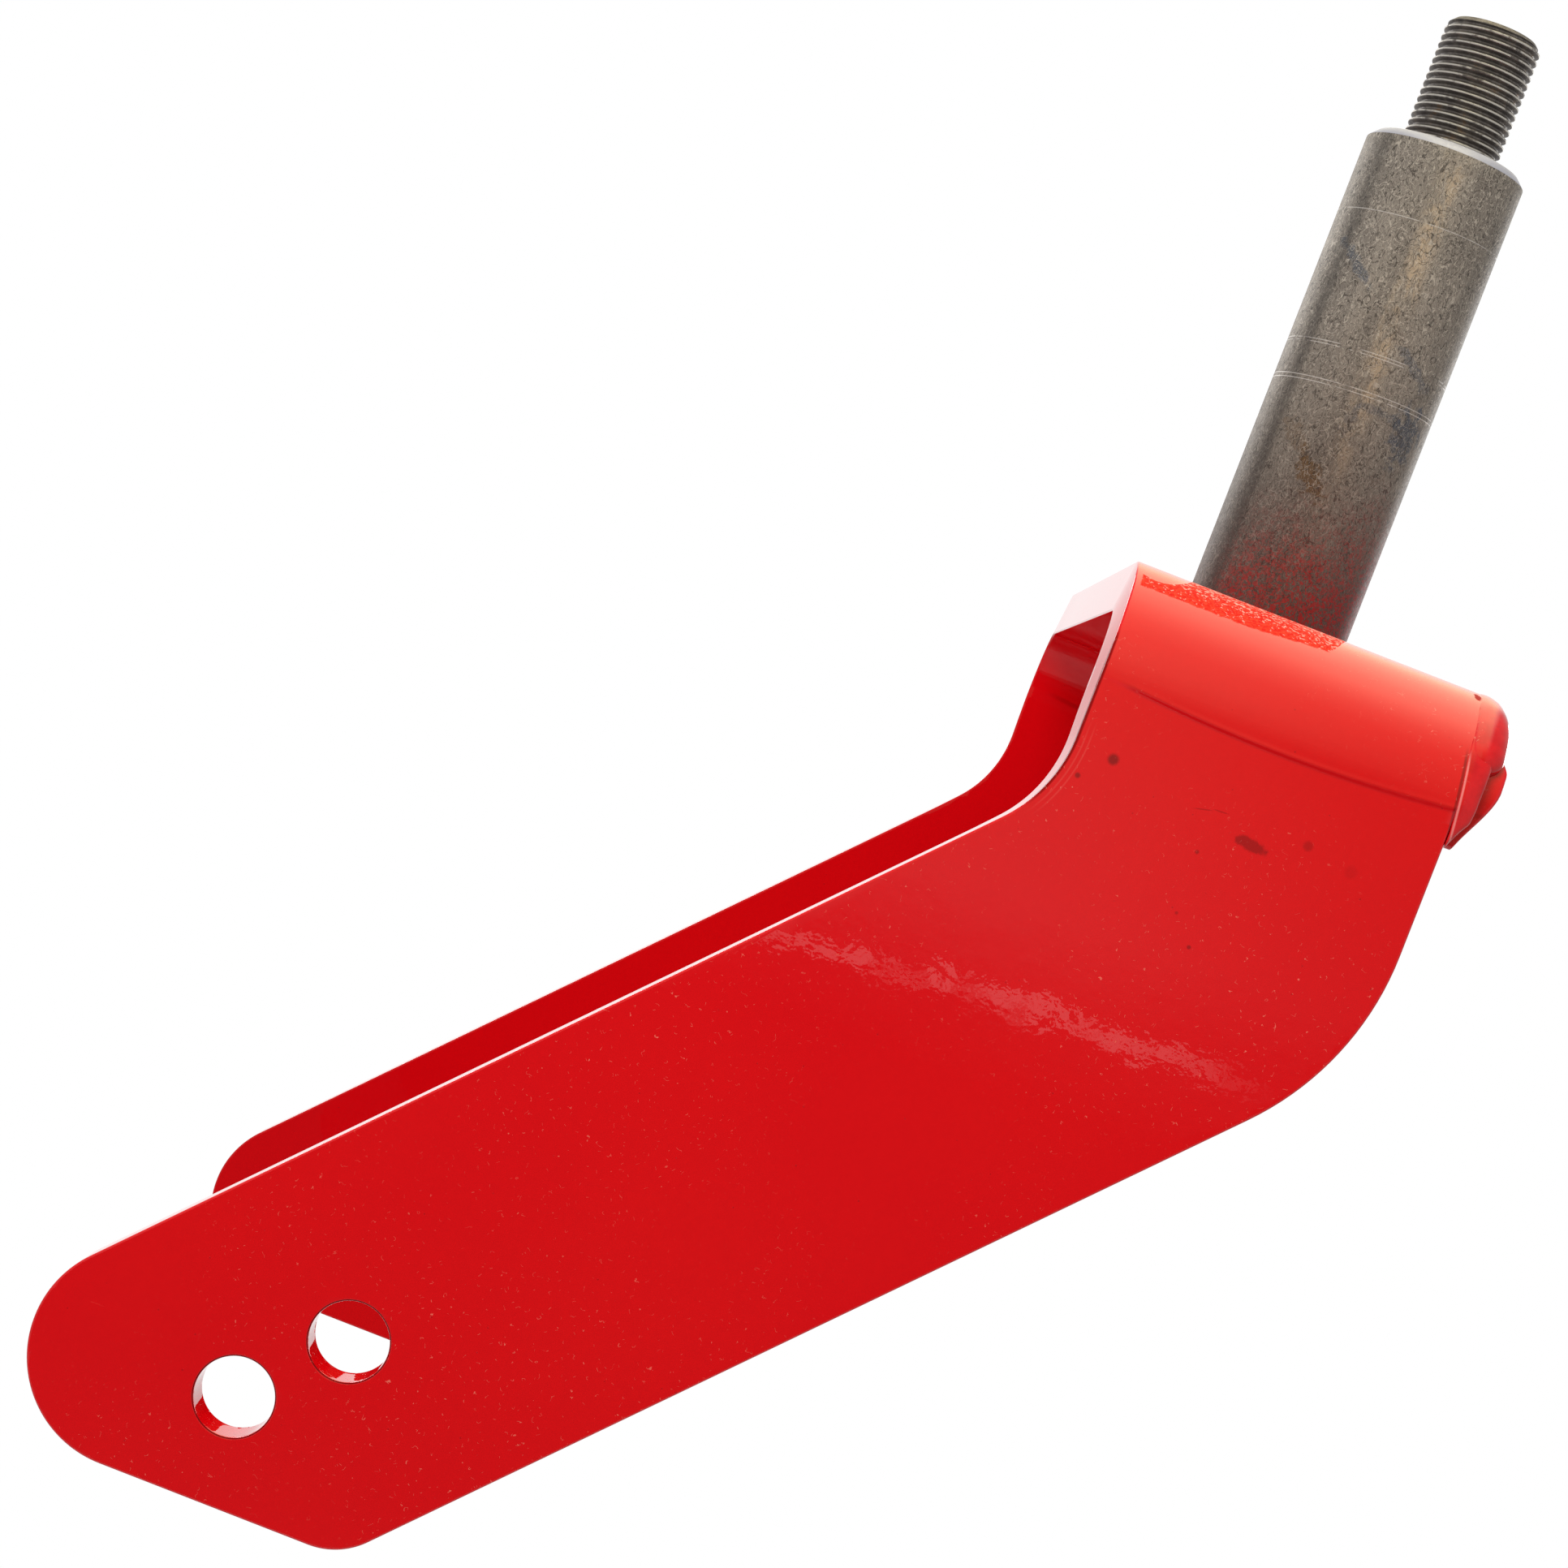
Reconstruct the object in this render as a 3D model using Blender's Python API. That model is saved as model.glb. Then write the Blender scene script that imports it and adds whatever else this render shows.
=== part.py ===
"""Caster wheel fork: a plate yoke bent to a U, with a threaded swivel spindle welded through its crown.

Metres, +Z up along the spindle. The origin is where the spindle's axis meets the crown's top face.
The two legs trail towards -X, and Y runs across the fork from leg to leg.
"""
import math

import bmesh
import bpy
from mathutils import Vector

INCH = 0.0254
GAP = 0.0003                          # air between two pieces that touch

# Yoke: one strip of plate, crown and two dog-leg legs
PLATE = 0.375 * INCH
STRIP_WIDTH = 2.5 * INCH
INSIDE_WIDTH = 7.0 * INCH             # room between the legs, across the wheel
OUTSIDE_WIDTH = INSIDE_WIDTH + 2 * PLATE
BEND_OUTER = 0.0214                   # outside radius of the two crown bends
CROWN_REAR = 0.0311
CROWN_FRONT = CROWN_REAR - STRIP_WIDTH
LEG_SLOPE = math.radians(47.0)        # the long leg, below the horizontal
LEG_BOTTOM = -0.2054                  # level cut at the leg's foot
FRONT_ELBOW = 1.0 * INCH
REAR_ELBOW = 2.0 * INCH
TIP_RADIUS = 0.75 * INCH
FOOT_RADIUS = 0.5 * INCH

# Two axle holes on the long leg's centre line
AXLE_LOW = Vector((-0.1237, -0.1867))  # x, z
AXLE_PITCH = 0.0214
AXLE_RADIUS = 0.00685

# Spindle
SPINDLE_RADIUS = 0.625 * INCH
SHOULDER_HEIGHT = 0.0998
SHOULDER_CHAMFER = INCH / 16
STUD_RADIUS = 0.375 * INCH
STUD_LENGTH = 1.0 * INCH
STUD_CHAMFER = 0.0013
STUD_COLLAR = 0.0006                  # plain stretch between the shoulder and the first thread
COLLAR_RADIUS = STUD_RADIUS + 0.00005
THREAD_PITCH = INCH / 16
THREAD_DEPTH = 0.0009
TAIL_LENGTH = 0.0040                  # spindle standing out under the crown
TAIL_CHAMFER = 0.0010

# Weld beads and the stiffener bar across the crown's rear edge
WELD_LEG = 0.0050
BAR_THICKNESS = 0.25 * INCH
BAR_TOP = -0.0030
BAR_BOTTOM = -0.0275
BAR_SLOPE = -0.0190                   # below this the bar's back slopes in to its bottom edge
BAR_INSET = 0.0042                    # bar's edge inside the yoke's outside profile
BEAD_WIDTH = 0.0035
BEAD_HEIGHT = 0.0055
BEAD_START = 0.0500                   # where a bead starts on the crown, from the middle

ROUND_STEP = math.radians(7.5)


def direction(angle):
    """Unit vector in a 2-D plane."""
    return Vector((math.cos(angle), math.sin(angle)))


def meet(point_a, along_a, point_b, along_b):
    """Where two lines in a plane cross."""
    cross = along_a.x * along_b.y - along_a.y * along_b.x
    offset = point_b - point_a
    return point_a + along_a * ((offset.x * along_b.y - offset.y * along_b.x) / cross)


def rounded(corners):
    """Closed outline from (point, radius) corners, each corner an arc of that radius."""
    outline = []
    for index, (corner, radius) in enumerate(corners):
        if radius == 0:
            outline.append(corner.copy())
            continue
        before = (corners[index - 1][0] - corner).normalized()
        after = (corners[(index + 1) % len(corners)][0] - corner).normalized()
        half = math.acos(max(-1.0, min(1.0, before.dot(after)))) / 2
        centre = corner + (before + after).normalized() * (radius / math.sin(half))
        start = corner + before * (radius / math.tan(half)) - centre
        end = corner + after * (radius / math.tan(half)) - centre
        sweep = start.angle_signed(end)
        steps = max(2, math.ceil(abs(sweep) / ROUND_STEP))
        for step in range(steps + 1):
            turn = -sweep * step / steps
            outline.append(centre + Vector((
                start.x * math.cos(turn) - start.y * math.sin(turn),
                start.x * math.sin(turn) + start.y * math.cos(turn))))
    return outline


def material(name, colour, roughness, metallic):
    made = bpy.data.materials.new(name)
    made.use_nodes = True
    shader = made.node_tree.nodes["Principled BSDF"]
    shader.inputs["Base Color"].default_value = (*colour, 1.0)
    shader.inputs["Roughness"].default_value = roughness
    shader.inputs["Metallic"].default_value = metallic
    return made


def add_object(name, mesh_maker, surface=None):
    """One object from a bmesh whose faces are turned outwards."""
    mesh = bpy.data.meshes.new(name)
    bmesh.ops.recalc_face_normals(mesh_maker, faces=mesh_maker.faces)
    mesh_maker.to_mesh(mesh)
    mesh_maker.free()
    made = bpy.data.objects.new(name, mesh)
    bpy.context.scene.collection.objects.link(made)
    if surface:
        mesh.materials.append(surface)
        mesh.shade_smooth()
        mesh.set_sharp_from_angle(angle=math.radians(30))
    return made


def prism(outline, low, high, place):
    """Extrude an outline; place(u, v, w) maps outline and depth to x, y, z."""
    shape = bmesh.new()
    near = [shape.verts.new(place(p.x, p.y, low)) for p in outline]
    far = [shape.verts.new(place(p.x, p.y, high)) for p in outline]
    shape.faces.new(near)
    shape.faces.new(reversed(far))
    for index in range(len(outline)):
        following = (index + 1) % len(outline)
        shape.faces.new((near[following], near[index], far[index], far[following]))
    return shape


def turned(profile, segments):
    """Solid of revolution about Z; a profile that starts and ends on the axis is closed there."""
    shape = bmesh.new()
    rings = []
    for radius, height in profile:
        if radius == 0:
            rings.append([shape.verts.new((0, 0, height))])
            continue
        turn = math.tau / segments
        rings.append([shape.verts.new((radius * math.cos(k * turn), radius * math.sin(k * turn), height))
                      for k in range(segments)])
    closed = len(rings[0]) == 1
    pairs = list(zip(rings, rings[1:])) if closed else list(zip(rings, rings[1:] + rings[:1]))
    for lower, upper in pairs:
        for k in range(segments):
            after = (k + 1) % segments
            face = [lower[k % len(lower)], lower[after % len(lower)],
                    upper[after % len(upper)], upper[k % len(upper)]]
            shape.faces.new(list(dict.fromkeys(face)))
    return shape


def combine(target, tool, operation):
    """Boolean with a hidden tool object."""
    tool.hide_render = True
    tool.display_type = "WIRE"
    change = target.modifiers.new(tool.name, "BOOLEAN")
    change.operation = operation
    change.object = tool
    change.solver = "EXACT"


def side_outline():
    """Side view of the yoke, x and z: crown height at the top, two elbows, tip and foot."""
    along = direction(LEG_SLOPE)
    across = direction(LEG_SLOPE + math.pi / 2) * (STRIP_WIDTH / 2)
    upper = AXLE_LOW + across
    lower = AXLE_LOW - across
    upright = Vector((0, 1))
    level = Vector((1, 0))
    foot = Vector((0, LEG_BOTTOM))
    front = Vector((CROWN_FRONT, 0))
    rear = Vector((CROWN_REAR, 0))
    return rounded([
        (front, 0),
        (meet(front, upright, upper, along), FRONT_ELBOW),
        (meet(foot, level, upper, along), TIP_RADIUS),
        (meet(foot, level, lower, along), FOOT_RADIUS),
        (meet(rear, upright, lower, along), REAR_ELBOW),
        (rear, 0)])


def arch(inset, bottom):
    """Front view of the bent strip's outside, y and z, moved inwards by inset."""
    half = OUTSIDE_WIDTH / 2 - inset
    return rounded([
        (Vector((-half, bottom)), 0),
        (Vector((-half, -inset)), BEND_OUTER - inset),
        (Vector((half, -inset)), BEND_OUTER - inset),
        (Vector((half, bottom)), 0)])


def make_yoke():
    """The side view cut through a U section, then drilled."""
    below = LEG_BOTTOM - PLATE
    along_y = lambda u, v, w: (u, w, v)
    along_x = lambda u, v, w: (w, u, v)
    yoke = add_object("fork_yoke", prism(side_outline(), -OUTSIDE_WIDTH, OUTSIDE_WIDTH, along_y),
                      material("red_gloss_paint", (0.60, 0.006, 0.010), 0.18, 0.0))
    reach = 1.0
    outside = add_object("outside_of_bend", prism(arch(0, below), -reach, reach, along_x))
    combine(yoke, outside, "INTERSECT")
    inside = add_object("inside_of_bend", prism(arch(PLATE, 2 * below), -reach, reach, along_x))
    combine(yoke, inside, "DIFFERENCE")
    bore = add_object("spindle_bore", turned([
        (0, -2 * PLATE), (SPINDLE_RADIUS + GAP, -2 * PLATE), (SPINDLE_RADIUS + GAP, PLATE), (0, PLATE)], 48))
    combine(yoke, bore, "DIFFERENCE")
    for number in range(2):
        place = AXLE_LOW + direction(LEG_SLOPE) * (AXLE_PITCH * number)
        drill = add_object(f"axle_drill_{number}", turned([
            (0, -OUTSIDE_WIDTH), (AXLE_RADIUS, -OUTSIDE_WIDTH), (AXLE_RADIUS, OUTSIDE_WIDTH),
            (0, OUTSIDE_WIDTH)], 32))
        drill.location = (place.x, 0, place.y)
        drill.rotation_euler.x = math.pi / 2
        combine(yoke, drill, "DIFFERENCE")
    return yoke


def thread_body(radius, depth, pitch, bottom, top, segments):
    """Screw-shaped core: crest and root lines climb one pitch each turn."""
    shape = bmesh.new()
    rows = 2 * math.ceil((top - bottom) / pitch)
    grid = {}
    for row in range(rows + 3):
        for step in range(segments if row <= rows else 1):
            turn = math.tau * step / segments
            reach = radius if row % 2 == 0 else radius - depth
            height = bottom + pitch * (row / 2 + step / segments)
            grid[row, step] = shape.verts.new((reach * math.cos(turn), reach * math.sin(turn), height))
    for row in range(rows):
        for step in range(segments):
            last = step == segments - 1
            right = (row + 2, 0) if last else (row, step + 1)
            upper_right = (row + 3, 0) if last else (row + 1, step + 1)
            if upper_right not in grid:
                continue
            shape.faces.new((grid[row, step], grid[right], grid[upper_right], grid[row + 1, step]))
    for start, middle in ((0, bottom), (rows, top + pitch)):
        hub = shape.verts.new((0, 0, middle))
        rim = [grid[start, step] for step in range(segments)] + [grid[start + 2, 0], grid[start + 1, 0]]
        for index, vertex in enumerate(rim):
            shape.faces.new((hub, vertex, rim[(index + 1) % len(rim)]))
    return shape


def make_spindle():
    """Turned bar with a chamfered shoulder and a fine-threaded stud."""
    steel = material("bare_steel", (0.24, 0.21, 0.18), 0.38, 1.0)
    tail = -PLATE - TAIL_LENGTH
    spindle = add_object("swivel_spindle", turned([
        (0, tail), (SPINDLE_RADIUS - TAIL_CHAMFER, tail), (SPINDLE_RADIUS, tail + TAIL_CHAMFER),
        (SPINDLE_RADIUS, SHOULDER_HEIGHT - SHOULDER_CHAMFER),
        (SPINDLE_RADIUS - SHOULDER_CHAMFER, SHOULDER_HEIGHT), (COLLAR_RADIUS, SHOULDER_HEIGHT),
        (COLLAR_RADIUS, SHOULDER_HEIGHT + STUD_COLLAR), (0, SHOULDER_HEIGHT + STUD_COLLAR)], 48), steel)
    root = SHOULDER_HEIGHT - 2 * THREAD_PITCH
    end = SHOULDER_HEIGHT + STUD_LENGTH
    thread = add_object("stud_thread", thread_body(
        STUD_RADIUS, THREAD_DEPTH, THREAD_PITCH, root, end + 2 * THREAD_PITCH, 24))
    blank = add_object("stud_blank", turned([
        (0, SHOULDER_HEIGHT - THREAD_PITCH / 2), (STUD_RADIUS * 1.02, SHOULDER_HEIGHT - THREAD_PITCH / 2),
        (STUD_RADIUS * 1.02, end - STUD_CHAMFER), (STUD_RADIUS - STUD_CHAMFER, end), (0, end)], 48))
    combine(thread, blank, "INTERSECT")
    combine(spindle, thread, "UNION")
    return spindle


def make_spindle_weld(name, outward):
    """Convex ring of weld in the corner between the spindle and the crown."""
    inner = SPINDLE_RADIUS + GAP
    profile = [(inner, GAP), (inner + WELD_LEG, GAP), (inner + 0.86 * WELD_LEG, 0.38 * WELD_LEG),
               (inner + 0.38 * WELD_LEG, 0.86 * WELD_LEG), (inner, WELD_LEG)]
    ring = add_object(name, turned([(radius, outward * height) for radius, height in profile], 48),
                      material(name + "_paint", (0.52, 0.008, 0.010), 0.35, 0.0))
    return ring


def make_stiffener():
    """Flat bar with rounded outer edges, across the crown's rear edge."""
    front = CROWN_REAR + GAP
    back = front + BAR_THICKNESS
    section = rounded([
        (Vector((front, BAR_TOP)), 0),
        (Vector((front, BAR_BOTTOM)), 0),
        (Vector((back, BAR_SLOPE)), 0.0080),
        (Vector((back, BAR_TOP)), 0.0045)])
    bar = add_object("rear_stiffener", prism(section, -OUTSIDE_WIDTH, OUTSIDE_WIDTH, lambda u, v, w: (u, w, v)),
                     material("stiffener_paint", (0.58, 0.006, 0.010), 0.20, 0.0))
    limit = add_object("inside_bead_line", prism(arch(BAR_INSET, 2 * BAR_BOTTOM), 0, 2 * back,
                                                 lambda u, v, w: (w, u, v)))
    combine(bar, limit, "INTERSECT")
    return bar


def bead_path(side):
    """Middle line of a corner bead, (y, z) and the outward normal, from the crown down the leg."""
    inset = BAR_INSET / 2
    half = OUTSIDE_WIDTH / 2
    radius = BEND_OUTER - inset
    centre = Vector((half - BEND_OUTER, -BEND_OUTER))
    path = [(Vector((BEAD_START, -inset)), Vector((0, 1)))]
    for step in range(9):
        out = direction(math.pi / 2 * (1 - step / 8))
        path.append((centre + out * radius, out))
    path.append((Vector((half - inset, BAR_BOTTOM)), Vector((1, 0))))
    return [(Vector((side * p.x, p.y)), Vector((side * n.x, n.y))) for p, n in path]


def make_corner_bead(name, side):
    """Weld bead along the bar's end, round the bend; fullest in the bend, thin at its ends."""
    shape = bmesh.new()
    base = CROWN_REAR + GAP
    half = BEAD_WIDTH / 2
    path = bead_path(side)
    rings = []
    for index, (middle, out) in enumerate(path):
        fullness = 0.62 + 0.38 * math.sin(math.pi * index / (len(path) - 1))
        height = BEAD_HEIGHT * fullness
        section = [(-half, 0), (half, 0), (0.80 * half, 0.50 * height), (0.10 * half, 0.95 * height),
                   (-0.55 * half, height), (-half, 0.85 * height)]
        rings.append([shape.verts.new((base + rise, *(middle + out * offset))) for offset, rise in section])
    for first, second in zip(rings, rings[1:]):
        for k in range(len(first)):
            after = (k + 1) % len(first)
            shape.faces.new((first[k], first[after], second[after], second[k]))
    shape.faces.new(rings[0])
    shape.faces.new(reversed(rings[-1]))
    return add_object(name, shape, material(name + "_paint", (0.52, 0.008, 0.010), 0.30, 0.0))


for old in list(bpy.data.objects):
    bpy.data.objects.remove(old, do_unlink=True)

fork = bpy.data.objects.new("fork_assembly", None)
bpy.context.scene.collection.objects.link(fork)
bottom_weld = make_spindle_weld("spindle_bottom_weld", -1)
bottom_weld.location.z = -PLATE
pieces = [make_yoke(), make_spindle(), make_spindle_weld("spindle_top_weld", 1), bottom_weld,
          make_stiffener(), make_corner_bead("stiffener_weld_near", -1),
          make_corner_bead("stiffener_weld_far", 1)]
for piece in pieces:
    piece.parent = fork
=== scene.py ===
import math

import bmesh
import bpy
from mathutils import Matrix, Vector, noise


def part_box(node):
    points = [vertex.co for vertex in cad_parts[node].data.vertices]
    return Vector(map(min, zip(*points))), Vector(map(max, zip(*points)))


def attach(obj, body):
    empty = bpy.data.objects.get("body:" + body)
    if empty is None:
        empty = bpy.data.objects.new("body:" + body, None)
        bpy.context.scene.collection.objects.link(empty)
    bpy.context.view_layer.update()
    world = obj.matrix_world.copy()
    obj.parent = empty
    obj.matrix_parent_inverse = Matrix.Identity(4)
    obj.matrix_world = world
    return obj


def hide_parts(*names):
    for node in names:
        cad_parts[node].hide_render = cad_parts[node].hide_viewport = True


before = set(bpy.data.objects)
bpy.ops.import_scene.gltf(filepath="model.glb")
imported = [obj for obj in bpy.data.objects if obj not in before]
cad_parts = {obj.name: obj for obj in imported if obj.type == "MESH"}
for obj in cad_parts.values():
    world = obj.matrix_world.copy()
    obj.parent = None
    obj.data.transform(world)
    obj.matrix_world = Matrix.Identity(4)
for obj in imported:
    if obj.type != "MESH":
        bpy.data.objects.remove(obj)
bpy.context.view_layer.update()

# ---------------------------------------------------------------- sizes, metres, from the frame
INCH = 0.0254
MM = 0.001
yoke_low, yoke_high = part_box("fork_yoke")
spindle_low, spindle_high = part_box("swivel_spindle")
bar_low, bar_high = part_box("rear_stiffener")
top_weld_low, top_weld_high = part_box("spindle_top_weld")
bottom_weld_low, bottom_weld_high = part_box("spindle_bottom_weld")
bead_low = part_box("stiffener_weld_near")[0]

PLATE = 0.375 * INCH
STRIP_WIDTH = 2.5 * INCH
BEND_OUTER = 0.0214
SKIN = 0.06 * MM                      # the plate is drawn this much inside its solid, so ridges stay within it
HALF = yoke_high[1] - SKIN
CROWN_REAR = yoke_high[0]
CROWN_FRONT = CROWN_REAR - STRIP_WIDTH
STRIP_MIDDLE = (CROWN_FRONT + CROWN_REAR) / 2
LEG_BOTTOM = yoke_low[2]
LEG_SLOPE = math.radians(47.0)
FRONT_ELBOW = 1.0 * INCH
REAR_ELBOW = 2.0 * INCH
TIP_RADIUS = 0.75 * INCH
FOOT_RADIUS = 0.5 * INCH
AXLE_LOW = Vector((-0.1237, -0.1867))  # x, z
AXLE_PITCH = 0.0214
AXLE_RADIUS = 0.00685
EDGE_ROUND = 0.4 * MM
FLARE = 1.0 * MM                      # how far the front rim's inner edge stands out
CREASE_BOW = 2.0 * MM                 # how far the press-brake mark bows down in the strip's middle

SPINDLE_RADIUS = spindle_high[0]
SPINDLE_TAIL = spindle_low[2]
STUD_TOP = spindle_high[2]
SHOULDER = STUD_TOP - 1.0 * INCH
SHOULDER_CHAMFER = INCH / 16
STUD_RADIUS = 0.375 * INCH
STUD_CHAMFER = 1.3 * MM
THREAD_PITCH = INCH / 16
THREAD_DEPTH = 0.92 * MM

CROWN_HALF = HALF - BEND_OUTER        # flat part of the crown, from the middle
BEND_LENGTH = BEND_OUTER * math.pi / 2
LEG_START = CROWN_HALF + BEND_LENGTH  # where the flat leg starts, measured along the strip's outside
LUMP_END = BEND_OUTER * math.radians(69)    # round the bend, where the weld's lump ends
BAND_START = BEND_OUTER * math.radians(52)  # and where its band starts, under the lump


# ---------------------------------------------------------------- small geometry helpers
def direction(angle):
    """Unit vector in a 2-D plane."""
    return Vector((math.cos(angle), math.sin(angle)))


def smooth(low, high, value):
    """0 below low, 1 above high, an S-curve between."""
    t = max(0.0, min(1.0, (value - low) / (high - low)))
    return t * t * (3 - 2 * t)


def meet(point_a, along_a, point_b, along_b):
    """Where two lines in a plane cross."""
    cross = along_a.x * along_b.y - along_a.y * along_b.x
    offset = point_b - point_a
    return point_a + along_a * ((offset.x * along_b.y - offset.y * along_b.x) / cross)


def leg_edge(side):
    """A point on the long leg's edge and the leg's direction, as (x, z); side is 1 above and -1 below."""
    return AXLE_LOW + direction(LEG_SLOPE + math.pi / 2) * (side * STRIP_WIDTH / 2), direction(LEG_SLOPE)


AXLES = [AXLE_LOW + direction(LEG_SLOPE) * (AXLE_PITCH * number) for number in range(2)]


def rounded(corners, step=math.radians(2.5)):
    """Closed outline from (point, radius) corners, each corner an arc of that radius."""
    outline = []
    for index, (corner, radius) in enumerate(corners):
        if radius == 0:
            outline.append(corner.copy())
            continue
        before = (corners[index - 1][0] - corner).normalized()
        after = (corners[(index + 1) % len(corners)][0] - corner).normalized()
        half = math.acos(max(-1.0, min(1.0, before.dot(after)))) / 2
        centre = corner + (before + after).normalized() * (radius / math.sin(half))
        start = corner + before * (radius / math.tan(half)) - centre
        end = corner + after * (radius / math.tan(half)) - centre
        sweep = start.angle_signed(end)
        steps = max(2, math.ceil(abs(sweep) / step))
        for number in range(steps + 1):
            turn = -sweep * number / steps
            outline.append(centre + Vector((
                start.x * math.cos(turn) - start.y * math.sin(turn),
                start.x * math.sin(turn) + start.y * math.cos(turn))))
    return outline


def ring(centre, radius, segments, clockwise=False):
    turns = [math.tau * k / segments * (-1 if clockwise else 1) for k in range(segments)]
    return [centre + direction(turn) * radius for turn in turns]


def object_from(name, shape, surface, slot, *nodes):
    """A finished piece: smooth shading, riding on the fork's only body."""
    mesh = bpy.data.meshes.new(name)
    bmesh.ops.recalc_face_normals(shape, faces=shape.faces)
    shape.to_mesh(mesh)
    shape.free()
    mesh.materials.append(surface)
    mesh.shade_smooth()
    made = bpy.data.objects.new(name, mesh)
    bpy.context.scene.collection.objects.link(made)
    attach(made, "root")
    if nodes:
        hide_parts(*nodes)
    return made


def rounded_plate(loops, thickness, edge):
    """Flat plate in XY with holes and rounded edges, top face up, as a bmesh."""
    curve = bpy.data.curves.new("outline", "CURVE")
    curve.dimensions = "2D"
    curve.fill_mode = "BOTH"
    curve.bevel_depth = edge
    curve.bevel_resolution = 3
    curve.extrude = thickness / 2 - edge
    curve.offset = -edge
    for loop in loops:
        spline = curve.splines.new("POLY")
        spline.points.add(len(loop) - 1)
        for point, place in zip(spline.points, loop):
            point.co = (place.x, place.y, 0, 1)
        spline.use_cyclic_u = True
    holder = bpy.data.objects.new("outline", curve)
    bpy.context.scene.collection.objects.link(holder)
    graph = bpy.context.evaluated_depsgraph_get()
    mesh = bpy.data.meshes.new_from_object(holder.evaluated_get(graph))
    shape = bmesh.new()
    shape.from_mesh(mesh)
    bpy.data.objects.remove(holder)
    bpy.data.curves.remove(curve)
    bpy.data.meshes.remove(mesh)
    bmesh.ops.remove_doubles(shape, verts=shape.verts, dist=2e-6)
    return shape


def slice_at(shape, axis, places):
    """Cut edges across the shape where one coordinate takes these values."""
    normal = Vector((0, 0, 0))
    normal[axis] = 1
    for place in places:
        bmesh.ops.bisect_plane(shape, geom=shape.verts[:] + shape.edges[:] + shape.faces[:],
                               plane_co=normal * place, plane_no=normal, dist=1e-7)


def weight_normals(plate):
    """Flat faces keep a flat shine right up to their rounded edges."""
    weighted = plate.modifiers.new("face_weighted_shading", "WEIGHTED_NORMAL")
    weighted.weight = 100


def spaced(low, high, step):
    """Numbers from low to high, evenly spaced, about step apart."""
    count = max(1, round((high - low) / step))
    return [low + (high - low) * k / count for k in range(count + 1)]


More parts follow.
